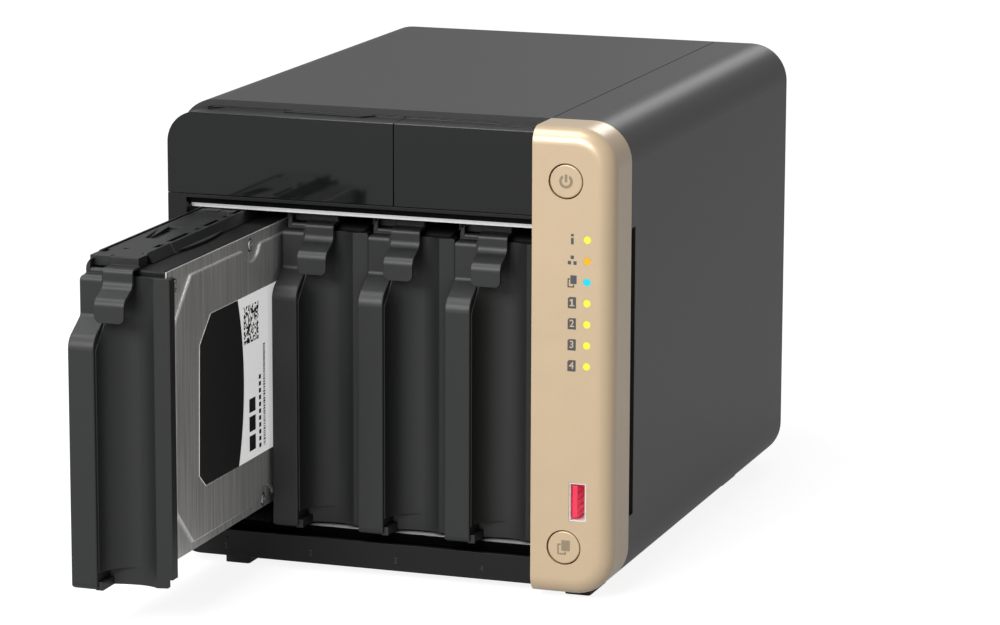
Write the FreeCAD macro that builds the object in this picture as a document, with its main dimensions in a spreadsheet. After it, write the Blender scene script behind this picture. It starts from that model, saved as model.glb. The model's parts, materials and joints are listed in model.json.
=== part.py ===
"""Four-bay network storage enclosure with hot-swap drive trays.

Millimetres, +Z up. The front faces -Y. The origin is under the middle of the whole part, tray 1
standing open included, on the plane of the feet. Every piece is drawn in shell coordinates (X from
the middle of the shell, Y back from the front of the control bezel, Z up from the underside of the
shell) and its Placement then carries it to the origin.
"""

import FreeCAD, Part
import Sketcher
import math
import os
import re

Vector = FreeCAD.Vector
doc = FreeCAD.newDocument("storage_enclosure")

# ------------------------------------------------------------------ driving dimensions

DIMENSIONS = {
    # shell
    "body_width": 170.0,
    "body_depth": 226.0,
    "body_height": 165.6,
    "foot_height": 2.4,
    "corner_radius": 14.2,
    "skin": 2.4,
    "seam": 0.4,
    "cover_front": 20.9,
    "rear_face": 223.0,
    "rear_skin": 2.0,
    # control bezel
    "bezel_left": 55.5,
    "bezel_depth": 21.0,
    "bezel_round": 5.8,
    "bezel_wall": 2.2,
    "button_across": 67.7,
    "power_up": 147.3,
    "copy_up": 17.4,
    "button_radius": 5.85,
    "button_hole_radius": 6.3,
    "button_travel": 0.8,
    "stem_back": 8.2,
    "led_across": 75.6,
    "led_top_up": 127.3,
    "led_pitch": 7.433,
    "led_radius": 1.3,
    "usb_left": 69.6,
    "usb_width": 6.25,
    "usb_low": 27.0,
    "usb_height": 14.0,
    # fascia and front frame
    "face_front": 8.9,
    "fascia_low": 133.1,
    "fascia_high": 162.6,
    "fascia_corner": 11.3,
    "fascia_seam": 1.2,
    "fascia_skin": 2.5,
    "fascia_tongue": 32.0,
    "pad_height": 0.5,
    "frame_high": 132.8,
    "post_right": -77.7,
    "opening_high": 131.6,
    "beam_high": 10.3,
    "frame_low": 0.5,
    "frame_back": 15.5,
    # sheet-metal cage
    "lip_front": 16.0,
    "sheet": 1.4,
    "roof_low": 127.1,
    "floor_high": 12.9,
    "cage_left": -79.8,
    "cage_right": 54.4,
    "cage_back": 183.0,
    # trays
    "tray_left": -76.1,
    "tray_pitch": 32.64,
        "tray_low": 13.9,
    "tray_high": 121.1,
    "tray_wall": 1.6,
    "wall_left": 0.6,
    "tray_back": 168.0,
    "tray_pull": 101.7,
    "handle_left": -0.65,
    "handle_right": 8.85,
    "handle_front": 6.0,
    "handle_high": 100.3,
    "taper_high": 107.0,
    "panel_front": 16.4,
    "panel_back": 19.4,
    "panel_right": 31.75,
    "strip_front": 17.7,
    "flange_back": 22.0,
    "flange_thick": 1.2,
    "rim_front": 7.3,
    "rim_right": 9.25,
    "scoop_right": 26.45,
    "scoop_deep": 18.3,
    "scoop_centre": 20.25,
    "ledge_front": 19.3,
    "ledge_high": 123.0,
    "rail_right": 17.6,
    "rail_flare": 2.2,
    "rail_low": 123.1,
    "rail_high": 126.6,
    "rail_front": 23.4,
    "rail_step": 51.0,
    "rail_lip": 0.3,
    "foot_rail_low": 17.5,
    "foot_rail_high": 20.9,
    # latch
    "latch_left": 8.8,
    "latch_right": 19.6,
    "latch_front": 7.2,
    "arm_front": 14.8,
    "latch_low": 106.8,
    "latch_thick": 1.3,
    "neck_high": 124.0,
    "plate_left": 8.4,
    "plate_right": 18.9,
    "plate_front": 21.7,
    "knuckle_left": 9.4,
    "knuckle_right": 17.4,
    "pivot_back": 24.3,
    "pivot_up": 124.35,
    "knuckle_radius": 1.2,
    "pin_radius": 0.6,
    "pin_play": 0.05,
    # 3.5-inch hard disk, standing on its long edge
    "drive_left": 4.3,
    "drive_thick": 26.1,
    "drive_front": 20.7,
    "drive_length": 147.0,
    "drive_low": 21.3,
    "drive_tall": 101.6,
    "lid_thick": 1.6,
    "lid_step": 1.0,
    "screw_radius": 1.8,
    "screw_well": 2.5,
    # fan
    "fan_across": -12.7,
    "fan_up": 72.0,
    "fan_size": 120.0,
    "fan_deep": 25.0,
    "fan_front": 195.0,
    "fan_bore": 57.5,
    "hub_radius": 20.0,
    "blade_radius": 56.0,
    "shaft_radius": 1.5,
    # main board, standing beside the cage
    "board_across": 60.0,
    "board_thick": 1.6,
}

cells = doc.addObject("Spreadsheet::Sheet", "Sizes")
for row, (alias, amount) in enumerate(DIMENSIONS.items(), start=1):
    cells.set(f"A{row}", alias)
    cells.set(f"B{row}", str(amount))
    cells.setAlias(f"B{row}", alias)
doc.recompute()

WORD = re.compile(r"[a-z_]+")
PARTS = []
TRAYS = (1, 2, 3, 4)


def formula(text):
    """An expression on the sheet's cells, from text that uses their plain names."""

    def cell(word):
        return "Sizes." + word.group() if word.group() in DIMENSIONS else word.group()

    return WORD.sub(cell, str(text))


def value(text):
    """The number that such an expression gives."""
    result = cells.evalExpression(formula(text))
    return float(getattr(result, "Value", result))


def bind(thing, name, text):
    """Tie a property of a document object to the sheet."""
    thing.setExpression(name, formula(text))


# ------------------------------------------------------------------ outlines for sketches


def polygon(*corners, bends=None):
    """Closed outline through corners; bends gives some edges a radius, positive where they curve left."""

    def draw(sketch):
        spots = [Vector(value(across), value(up), 0) for across, up in corners]
        first = sketch.GeometryCount
        count = len(spots)
        ends = []
        for index, start in enumerate(spots):
            stop = spots[(index + 1) % count]
            if bends and index in bends:
                radius = value(bends[index])
                chord = stop.sub(start)
                middle = start.add(stop).multiply(0.5)
                left = Vector(-chord.y, chord.x, 0).normalize()
                rise = math.sqrt(radius**2 - (chord.Length / 2) ** 2)
                centre = middle.add(left.multiply(math.copysign(rise, radius)))
                head, tail = (start, stop) if radius > 0 else (stop, start)
                angles = [math.atan2(p.y - centre.y, p.x - centre.x) for p in (head, tail)]
                circle_shape = Part.Circle(centre, Vector(0, 0, 1), abs(radius))
                sketch.addGeometry(Part.ArcOfCircle(circle_shape, angles[0], angles[1]))
                ends.append((1, 2) if radius > 0 else (2, 1))
                place = sketch.addConstraint(Sketcher.Constraint("Radius", first + index, abs(radius)))
                bind(sketch, f"Constraints[{place}]", f"abs({bends[index]})")
            else:
                sketch.addGeometry(Part.LineSegment(start, stop))
                ends.append((1, 2))
        for index in range(count):
            after = (index + 1) % count
            joint = (first + index, ends[index][1], first + after, ends[after][0])
            sketch.addConstraint(Sketcher.Constraint("Coincident", *joint))
            amounts = (spots[index].x, spots[index].y)
            for kind, text, amount in zip(("DistanceX", "DistanceY"), corners[index], amounts):
                place = sketch.addConstraint(Sketcher.Constraint(kind, first + index, ends[index][0], amount))
                bind(sketch, f"Constraints[{place}]", text)

    return draw


def rectangle(left, right, low, high):
    """Closed outline with square corners."""
    return polygon((left, low), (right, low), (right, high), (left, high))


def circle(across, up, radius):
    """Closed round outline."""

    def draw(sketch):
        spot = Vector(value(across), value(up), 0)
        index = sketch.addGeometry(Part.Circle(spot, Vector(0, 0, 1), value(radius)))
        for kind, text, amount in (("DistanceX", across, spot.x), ("DistanceY", up, spot.y)):
            place = sketch.addConstraint(Sketcher.Constraint(kind, index, 3, amount))
            bind(sketch, f"Constraints[{place}]", text)
        place = sketch.addConstraint(Sketcher.Constraint("Radius", index, value(radius)))
        bind(sketch, f"Constraints[{place}]", radius)

    return draw


# ------------------------------------------------------------------ bodies


def along(direction, **places):
    """Test for straight edges that run along an axis through the places given."""
    targets = {axis: value(text) for axis, text in places.items()}

    def matches(edge):
        if edge.Degenerated or edge.Curve.TypeId != "Part::GeomLine":
            return False
        course = edge.Curve.Direction
        if abs(getattr(course, direction)) < 0.999:
            return False
        middle = edge.valueAt((edge.FirstParameter + edge.LastParameter) / 2)
        return all(abs(getattr(middle, axis) - place) < 0.02 for axis, place in targets.items())

    return matches


def within(**spans):
    """Test for edges, straight or curved, that lie wholly inside the spans given."""
    limits = {axis: (value(low), value(high)) for axis, (low, high) in spans.items()}

    def matches(edge):
        box = edge.BoundBox
        for axis, (low, high) in limits.items():
            if getattr(box, axis.upper() + "Min") < low - 0.02:
                return False
            if getattr(box, axis.upper() + "Max") > high + 0.02:
                return False
        return True

    return matches


class Piece:
    """One PartDesign body, built up from extruded outlines and rounded edges.

    Outlines lie in the plane named: XY is drawn as (x, y), XZ as (x, z) and YZ as (y, z).
    """

    def __init__(self, label):
        self.body = doc.addObject("PartDesign::Body", label)

    def outline(self, plane, start, shapes):
        sketch = self.body.newObject("Sketcher::SketchObject", self.body.Name + "_outline")
        role = plane + "_Plane"
        support = [item for item in self.body.Origin.OriginFeatures if item.Role == role][0]
        sketch.AttachmentSupport = [(support, "")]
        sketch.MapMode = "FlatFace"
        away = f"-({start})" if plane == "XZ" else start
        bind(sketch, "AttachmentOffset.Base.z", away)
        for shape in shapes:
            shape(sketch)
        return sketch

    def pad(self, plane, start, stop, *shapes):
        """Add the outlines' extrusion from start to stop across their plane."""
        sketch = self.outline(plane, start, shapes)
        feature = self.body.newObject("PartDesign::Pad", self.body.Name + "_pad")
        feature.Profile = sketch
        feature.Reversed = plane == "XZ"
        bind(feature, "Length", f"({stop}) - ({start})")
        self.body.Tip = feature
        return self

    def pocket(self, plane, start, stop, *shapes):
        """Take away the outlines' extrusion from start to stop across their plane."""
        doc.recompute()
        before = self.body.Tip.Shape.Volume
        sketch = self.outline(plane, start, shapes)
        feature = self.body.newObject("PartDesign::Pocket", self.body.Name + "_pocket")
        feature.Profile = sketch
        feature.Reversed = plane != "XZ"
        bind(feature, "Length", f"({stop}) - ({start})")
        self.body.Tip = feature
        doc.recompute()
        if feature.Shape.Volume > before - 1e-6:
            raise RuntimeError(f"{feature.Name} cut nothing")
        return self

    def loft(self, plane, *sections):
        """Add a straight blend between two outlines, each given with its place across the plane."""
        sketches = [self.outline(plane, start, [shape]) for start, shape in sections]
        feature = self.body.newObject("PartDesign::AdditiveLoft", self.body.Name + "_loft")
        feature.Profile = sketches[0]
        feature.Sections = sketches[1:]
        feature.Ruled = True
        self.body.Tip = feature
        return self

    def round(self, radius, *tests):
        """Round the edges that pass any of the tests."""
        doc.recompute()
        base = self.body.Tip
        chosen = [
            f"Edge{number}"
            for number, edge in enumerate(base.Shape.Edges, start=1)
            if any(test(edge) for test in tests)
        ]
        if not chosen:
            raise RuntimeError(f"{self.body.Name} has no edge to round")
        feature = self.body.newObject("PartDesign::Fillet", self.body.Name + "_round")
        feature.Base = (base, chosen)
        bind(feature, "Radius", radius)
        self.body.Tip = feature
        return self

    def keep(self, across="0", back="0"):
        return keep(self.body, self.body.Name, across, back)


def keep(thing, label, across="0", back="0"):
    """Name a finished sub-part and carry it from shell coordinates to the origin."""
    doc.recompute()
    thing.Label = label
    own = {path.lstrip("."): text for path, text in thing.ExpressionEngine}
    shifts = (across, f"({back}) - (body_depth + handle_front - tray_pull) / 2", "foot_height")
    for axis, shift in zip("xyz", shifts):
        path = "Placement.Base." + axis
        thing.setExpression(path, own.get(path, "0") + " + " + formula(shift))
    PARTS.append(thing)
    return thing


# ------------------------------------------------------------------ primitives


def block(name, left, right, front, back, low, high):
    """A box between the planes given."""
    thing = doc.addObject("Part::Box", name)
    for prop, start, stop in (("Length", left, right), ("Width", front, back), ("Height", low, high)):
        bind(thing, prop, f"({stop}) - ({start})")
    for axis, start in zip("xyz", (left, front, low)):
        bind(thing, "Placement.Base." + axis, start)
    return thing


TURNS = {
    "x": FreeCAD.Rotation(Vector(0, 1, 0), 90),
    "y": FreeCAD.Rotation(Vector(1, 0, 0), -90),
    "z": FreeCAD.Rotation(),
}


def rod(name, axis, centre, start, stop, radius):
    """A cylinder along an axis; centre gives its place on the other two axes, in X, Y, Z order."""
    thing = doc.addObject("Part::Cylinder", name)
    bind(thing, "Radius", radius)
    bind(thing, "Height", f"({stop}) - ({start})")
    thing.Placement = FreeCAD.Placement(Vector(), TURNS[axis])
    places = dict(zip([letter for letter in "xyz" if letter != axis], centre))
    places[axis] = start
    for letter, place in places.items():
        bind(thing, "Placement.Base." + letter, place)
    return thing


def cut(name, base, *tools):
    """A base with tools taken away."""
    thing = doc.addObject("Part::Cut", name)
    thing.Base = base
    thing.Tool = tools[0] if len(tools) == 1 else fuse(name + "_tools", *tools)
    return thing


def fuse(name, *things):
    """Several shapes joined, or kept side by side where they don't touch."""
    thing = doc.addObject("Part::MultiFuse", name)
    thing.Shapes = list(things)
    return thing


HALF = "body_width / 2"


# ------------------------------------------------------------------ shell


def left_cover():
    """Channel that wraps the top, left side and underside, behind the fascia."""
    inner = f"-{HALF} + skin"
    piece = Piece("left_cover")
    piece.pad(
        "XZ",
        "cover_front",
        "body_depth",
        polygon(
            (f"-{HALF}", "0"),
            ("bezel_left", "0"),
            ("bezel_left", "skin"),
            (inner, "skin"),
            (inner, "body_height - skin"),
            ("bezel_left", "body_height - skin"),
            ("bezel_left", "body_height"),
            (f"-{HALF}", "body_height"),
        ),
    )
    piece.round("corner_radius", along("y", x=f"-{HALF}"))
    piece.round("corner_radius - skin", along("y", x=inner))
    return piece.keep()


def right_cover():
    """Channel that wraps the right side, with an air slot along its front edge."""
    inner = f"{HALF} - skin"
    piece = Piece("right_cover")
    piece.pad(
        "XZ",
        "cover_front + seam",
        "body_depth",
        polygon(
            (f"{HALF}", "0"),
            (f"{HALF}", "body_height"),
            ("bezel_left + seam", "body_height"),
            ("bezel_left + seam", "body_height - skin"),
            (inner, "body_height - skin"),
            (inner, "skin"),
            ("bezel_left + seam", "skin"),
            ("bezel_left + seam", "0"),
        ),
    )
    piece.round("corner_radius", along("y", x=f"{HALF}"))
    piece.round("corner_radius - skin", along("y", x=inner))
    piece.pocket("YZ", f"{HALF} - skin - 1", f"{HALF} + 1", rectangle("cover_front", "25.8", "25", "128.3"))
    return piece.keep()


def side_vent_insert():
    """Perforated strip that lines the air slot from inside."""
    face = f"{HALF} - skin"
    piece = Piece("side_vent_insert")
    piece.pad("YZ", f"{face} - 1.2", f"{face} - 0.1", rectangle("cover_front + 1", "29", "22", "131.3"))
    holes = [rectangle("22.6", "25.2", f"{up}", f"{up + 3}") for up in range(28, 124, 6)]
    piece.pocket("YZ", f"{face} - 2", f"{face}", *holes)
    return piece.keep()


def fascia(label, left, right, pads):
    """One half of the dark fascia: a front skin with a shelf that runs back under the cover."""
    piece = Piece(label)
    piece.pad("XZ", "face_front", "cover_front - seam", rectangle(left, right, "fascia_low", "fascia_high"))
    outer = label == "fascia_left"
    if outer:
        piece.round("fascia_corner", along("y", x=left, z="fascia_high"))
    front = ("face_front", "face_front")
    piece.round("0.4", within(y=front, z=("fascia_high - fascia_corner", "fascia_high")))
    reach = f"{left} + fascia_skin" if outer else f"{left} - 1"
    core = rectangle(reach, f"{right} + 1", "fascia_low - 1", "fascia_high - fascia_skin")
    piece.pocket("XZ", "face_front + fascia_skin", "cover_front", core)
    shelf_left = f"{left} + fascia_corner + 1" if outer else left
    shelf = rectangle(shelf_left, right, "fascia_high - fascia_skin", "fascia_high")
    piece.pad("XZ", "cover_front - seam", "fascia_tongue", shelf)
    land_left = f"{left} + corner_radius" if outer else left
    land = rectangle(land_left, right, "fascia_high - 0.1", "body_height - skin - 0.05")
    piece.pad("XZ", "cover_front - 0.3", "cover_front + 4", land)
    piece.pad("XY", "fascia_high", "fascia_high + pad_height", *pads)
    return piece.keep()


def fascia_left():
    """Left half; two low wedges stand on its shelf."""
    pads = (
        polygon(("-72.2", "16.4"), ("-57.7", "31.5"), ("-70.6", "30.2")),
        polygon(("-43.4", "17.4"), ("-13.5", "15.7"), ("-1", "31.8"), ("-36", "29.5")),
    )
    return fascia("fascia_left", f"-{HALF}", "fascia_seam - seam / 2", pads)


def fascia_right():
    """Right half; one low wedge stands on its shelf."""
    right = "bezel_left - seam"
    pads = (polygon(("35.5", "16.4"), (right, "15.6"), (right, "28.5"), ("40.1", "27")),)
    return fascia("fascia_right", "fascia_seam + seam / 2", right, pads)


def front_frame():
    """Frame round the bays, stepped inwards, with a raised number and dot under each bay."""
    right = "bezel_left - seam"
    piece = Piece("front_frame")
    piece.pad("XZ", "face_front", "frame_back", rectangle(f"-{HALF}", right, "frame_low", "frame_high"))
    piece.round("fascia_corner", along("y", x=f"-{HALF}", z="frame_low"))
    piece.round("0.4", within(y=("face_front", "face_front"), z=("frame_low", "corner_radius")))
    mouth = rectangle("post_right", "cage_right", "beam_high", "opening_high")
    piece.pocket("XZ", "face_front - 1", "face_front + 2.2", mouth)
    throat = rectangle("post_right - 1.8", "cage_right", "floor_high + 0.05", "129.4")
    piece.pocket("XZ", "face_front + 2", "frame_back + 1", throat)
    gutter = rectangle("post_right", "cage_right", "beam_high", "floor_high + 1")
    piece.pocket("XZ", "face_front + 2", "frame_back - 0.8", gutter)
    dots = [circle(bay_middle(number), "7.2", "0.45") for number in TRAYS]
    piece.pad("XZ", "face_front - 0.15", "face_front + 0.2", *dots)
    return piece.keep()


def bay_middle(number):
    """Place of a bay's label across the beam."""
    return f"tray_left + 12.6 + {number - 1} * tray_pitch"


def control_bezel():
    """Satin upright with rounded edges; buttons, lamps and a port open through it."""
    piece = Piece("control_bezel")
    piece.pad("XZ", "0", "bezel_depth", rectangle("bezel_left", HALF, "0", "body_height"))
    piece.round("corner_radius", along("y", x=HALF))
    front = ("0", "0")
    piece.round(
        "bezel_round",
        within(x=("bezel_left + 1", HALF), y=front),
        within(x=("bezel_left", HALF), y=front, z=("0", "corner_radius")),
        within(x=("bezel_left", HALF), y=front, z=("body_height - corner_radius", "body_height")),
    )
    inside = f"{HALF} - bezel_wall"
    core = polygon(
        ("bezel_left + bezel_wall", "bezel_wall"),
        ("bezel_left + 16", "bezel_wall"),
        (inside, "14"),
        (inside, "body_height - 14"),
        ("bezel_left + 16", "body_height - bezel_wall"),
        ("bezel_left + bezel_wall", "body_height - bezel_wall"),
        bends={1: "16", 3: "16"},
    )
    piece.pocket("XZ", "2.6", "bezel_depth + 1", core)
    lamps = [circle("led_across", lamp_up(place), "led_radius + 0.05") for place in range(7)]
    openings = [circle("button_across", up, "button_hole_radius") for up in ("power_up", "copy_up")]
    port = rectangle("usb_left", "usb_left + usb_width", "usb_low", "usb_low + usb_height")
    piece.pocket("XZ", "-1", "4", *lamps, *openings, port)
    return piece.keep()


def lamp_up(place):
    """Height of a lamp, counted down from the top one."""
    return f"led_top_up - {place} * led_pitch"


def foot_pads():
    """Four rubber pads under the corners; the front pair sits further forward."""
    piece = Piece("foot_pads")
    spots = [(left, front) for front in ("11", "180") for left in ("-64.9", "64.7")]
    pads = [rectangle(left, f"{left} + 9.3", front, f"{front} + 19.6") for left, front in spots]
    piece.pad("XY", "-foot_height", "0", *pads)
    piece.round("1", lambda edge: abs(edge.tangentAt(edge.FirstParameter).z) > 0.99)
    return piece.keep()


# ------------------------------------------------------------------ controls


def button(label, up):
    """Button cap with a dished face, and a stem that reaches the switch."""
    piece = Piece(label)
    piece.pad("XZ", "0.15", "3.4", circle("button_across", up, "button_radius"))
    piece.round("0.5", within(y=("0.15", "0.15")))
    piece.pad("XZ", "3.4", "stem_back", circle("button_across", up, "2"))
    return piece.keep()


def light_pipes(label, places):
    """Clear plugs that carry light from the front board to the bezel."""
    pipes = [
        rod(f"{label}_{place}", "y", ("led_across", lamp_up(place)), "0.1", "11", "led_radius")
        for place in places
    ]
    return keep(fuse(label, *pipes) if len(pipes) > 1 else pipes[0], label)


def front_io_board():
    """Small circuit board behind the bezel."""
    piece = Piece("front_io_board")
    piece.pad("XZ", "12", "13.6", rectangle("60", "81", "12", "153"))
    piece.pocket("XZ", "11", "14.6", rectangle("68.6", "76.9", "25", "43"))
    return piece.keep()


def tact_switches():
    """One push switch behind each button."""
    switches = []
    for name, up in (("power", "power_up"), ("copy", "copy_up")):
        sides = ("button_across - 3", "button_across + 3")
        base = block(f"{name}_switch", *sides, "9.9", "12", f"{up} - 3", f"{up} + 3")
        near = "stem_back + button_travel + 0.1"
        plunger = rod(f"{name}_plunger", "y", ("button_across", up), near, "10", "1.6")
        switches.append(fuse(f"{name}_tact", base, plunger))
    return keep(fuse("tact_switches", *switches), "tact_switches")


def front_usb_shell():
    """Folded metal shell of the upright front port."""
    piece = Piece("front_usb_shell")
    left, right = "usb_left + 0.1", "usb_left + usb_width - 0.1"
    low, high = "usb_low + 0.1", "usb_low + usb_height - 0.1"
    piece.pad("XZ", "0.2", "15.5", rectangle(left, right, low, high))
    core = rectangle(f"{left} + 0.4", f"{right} - 0.4", f"{low} + 0.4", f"{high} - 0.4")
    piece.pocket("XZ", "0", "14.8", core)
    return piece.keep()


def front_usb_tongue():
    """Coloured tongue inside the port, with its four contact grooves."""
    piece = Piece("front_usb_tongue")
    left = "usb_left + 0.8"
    tongue = rectangle(left, f"{left} + 2", "usb_low + 1.2", "usb_low + usb_height - 1.2")
    piece.pad("XZ", "1.2", "14.7", tongue)
    piece.round("0.3", within(y=("1.2", "1.2")))
    low = "usb_low + 2.5"
    lows = [f"{low} + {2.4 * slot}" for slot in range(4)]
    grooves = [rectangle("2", "12", start, f"{start} + 1") for start in lows]
    piece.pocket("YZ", f"{left} + 1.6", f"{left} + 3", *grooves)
    return piece.keep()


# ------------------------------------------------------------------ cage


def chassis_roof():
    """Sheet over the bays; its bright front edge shows above the trays."""
    piece = Piece("chassis_roof")
    left, right = "post_right - 1.9", "cage_right + sheet - 0.4"
    piece.pad("XY", "roof_low", "roof_low + sheet", rectangle(left, right, "lip_front", "cage_back"))
    piece.round("2.3", along("z", x=left, y="lip_front"))
    return piece.keep()


def chassis_tub():
    """Floor and side walls folded from one sheet."""
    left, right = "cage_left - sheet", "cage_right"
    outer_right = f"{right} + sheet - 0.4"
    piece = Piece("chassis_tub")
    piece.pad(
        "XZ",
        "lip_front",
        "cage_back",
        polygon(
            (left, "floor_high - sheet"),
            (outer_right, "floor_high - sheet"),
            (outer_right, "roof_low - 0.1"),
            (right, "roof_low - 0.1"),
            (right, "floor_high"),
            ("cage_left", "floor_high"),
            ("cage_left", "roof_low - 0.1"),
            (left, "roof_low - 0.1"),
        ),
    )
    under = "floor_high - sheet"
    piece.round("0.9", along("y", x=left, z=under), along("y", x=outer_right, z=under))
    slots = [rectangle(f"{back}", f"{back + 14}", "40", "100") for back in range(40, 160, 24)]
    piece.pocket("YZ", "cage_right - 1", "cage_right + 3", *slots)
    return piece.keep()


def bay_guides():
    """Ribs on the roof and floor that keep each tray in its own lane."""
    ribs = []
    for number in TRAYS[:3]:
        left = f"tray_left + {number} * tray_pitch - 1.5"
        for name, low, high in (("upper", "rail_low", "roof_low"), ("lower", "floor_high", "foot_rail_low")):
            rib = block(f"{name}_rib_{number}", left, f"{left} + 1.1", "24", "cage_back - 18", low, high)
            ribs.append(rib)
    return keep(fuse("bay_guides", *ribs), "bay_guides")


# ------------------------------------------------------------------ trays


def tray_shift(number):
    """Where a tray's own left edge lies, and how far it is pushed back; tray 1 stands open."""
    back = "-tray_pull" if number == 1 else "0"
    return f"tray_left + {number - 1} * tray_pitch", back


def tray_carrier(number):
    """Moulded tray: handle, scooped front panel, side wall and the two rails that hold a disk."""
    piece = Piece(f"tray_{number}_carrier")
    tray_handle(piece)
    tray_panel(piece)
    tray_rails(piece)
    latch_seat(piece)
    rail_details(piece)
    return piece.keep(*tray_shift(number))


def tray_handle(piece):
    """Upright grip, bent back at its top to carry on as a thin panel, with softened edges."""
    piece.pad(
        "YZ",
        "handle_left",
        "handle_right",
        polygon(
            ("handle_front", "tray_low"),
            ("panel_back", "tray_low"),
            ("panel_back", "tray_high"),
            ("panel_front", "tray_high"),
            ("panel_front", "taper_high"),
            ("handle_front", "handle_high"),
        ),
    )
    piece.round("6", along("x", y="handle_front", z="handle_high"))
    piece.round("1.6", along("x", y="panel_front", z="taper_high"))
    piece.round("2.3", along("y", x="handle_left", z="tray_high"))
    piece.round("1.6", along("y", x="handle_left", z="tray_low"), along("y", x="handle_right", z="tray_low"))
    piece.round("0.5", along("x", y="handle_front", z="tray_low"))
    for edge, high in (("panel_front", "tray_high"), ("handle_front", "tray_low")):
        piece.pocket("YZ", "handle_left - 1", "handle_right", rounding(edge, high, "2.4"))


def rounding(front, level, radius):
    """Outline that takes a square front edge down to a round one, at the top or the bottom of a grip."""
    top = level == "tray_high"
    inward = f"{level} - {radius}" if top else f"{level} + {radius}"
    outward = f"{level} + 1" if top else f"{level} - 1"
    corners = [
        (f"{front} - 1", inward),
        (front, inward),
        (f"{front} + {radius}", level),
        (f"{front} + {radius}", outward),
        (f"{front} - 1", outward),
    ]
    return polygon(*corners, bends={1: f"-{radius}" if top else radius})


def tray_panel(piece):
    """Panel beside the grip: a round scoop that starts at a thin rim, a slanted strip and a flange."""
    left_bow = bow("scoop_centre - rim_right", "scoop_deep - panel_front")
    right_bow = bow("scoop_right - scoop_centre", "scoop_deep - panel_front")
    inside = "handle_right - 1.2"
    piece.pad(
        "XY",
        "tray_low",
        "tray_high",
        polygon(
            (inside, "panel_front"),
            ("rim_right", "panel_front"),
            ("scoop_centre", "scoop_deep"),
            ("scoop_right", "panel_front"),
            ("panel_right", "strip_front"),
            ("panel_right", "flange_back"),
            ("panel_right - flange_thick", "flange_back"),
            ("panel_right - flange_thick", "panel_back"),
            (inside, "panel_back"),
            bends={1: f"-({left_bow})", 2: f"-({right_bow})"},
        ),
    )
    piece.round("0.9", along("y", x="panel_right", z="tray_high"))
    corner = rectangle("panel_right - 1.7", "panel_right + 1", "tray_low - 1", "tray_low + 2.9")
    piece.pocket("XZ", "panel_front - 1", "flange_back + 1", corner)
    web_high = "handle_high - 3.3"
    piece.pad("XY", "tray_low + 6", web_high, web("rim_front"))
    piece.loft("XY", (web_high, web("rim_front")), ("taper_high", web("panel_front")))
    toe = rectangle("handle_right - 1", "handle_right + 1.6", "handle_front + 1.2", "panel_front + 1")
    piece.pad("XY", "tray_low", "tray_low + 2.9", toe)
    ledge = rectangle("wall_left", "latch_left - 0.2", "tray_high - 2", "ledge_high")
    piece.pad("XZ", "ledge_front", "panel_back + 1.2", ledge)
    piece.round("1.1", along("x", y="ledge_front", z="ledge_high"))


def bow(half, rise):
    """Radius of an arc that climbs by a rise over half its span."""
    return f"((({half})^2 + ({rise})^2) / (2 * ({rise})))"


def web(front):
    """Outline of the scoop's wall beside the grip, from its rim down to the deepest line."""
    back = "scoop_deep + 0.4"
    return polygon(
        ("handle_right", front),
        ("rim_right", front),
        ("scoop_centre", "scoop_deep"),
        ("scoop_centre", back),
        ("handle_right", back),
        bends={1: "-" + bow("scoop_centre - rim_right", f"scoop_deep - {front}")},
    )


def tray_rails(piece):
    """Side wall with a rail along its top and bottom; the top one flares towards the disk."""
    right, inner = "rail_right", "wall_left + tray_wall"
    piece.pad(
        "XZ",
        "panel_back - 1",
        "tray_back",
        polygon(
            ("wall_left", "foot_rail_low"),
            (right, "foot_rail_low"),
            (right, "foot_rail_high"),
            (inner, "foot_rail_high"),
            (inner, "rail_low"),
            (right, "rail_low"),
            (right, "rail_high"),
            ("wall_left", "rail_high"),
        ),
    )
    for start, stop, step in (("32", "rail_step", "0"), ("rail_step", "tray_back", "0.4")):
        flare = polygon(
            (f"{right} - 0.5", "rail_low"),
            (f"{right} + rail_flare + {step}", "rail_low"),
            (f"{right} + {step}", "rail_high"),
            (f"{right} - 0.5", "rail_high"),
        )
        piece.pad("XZ", start, stop, flare)
    edge = f"{right} + rail_flare"
    bulge = polygon((edge, "rail_step + 2"), (edge, "rail_step + 42"), bends={0: "112"})
    piece.pad("XY", "rail_low", "rail_low + 0.9", bulge)


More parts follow.
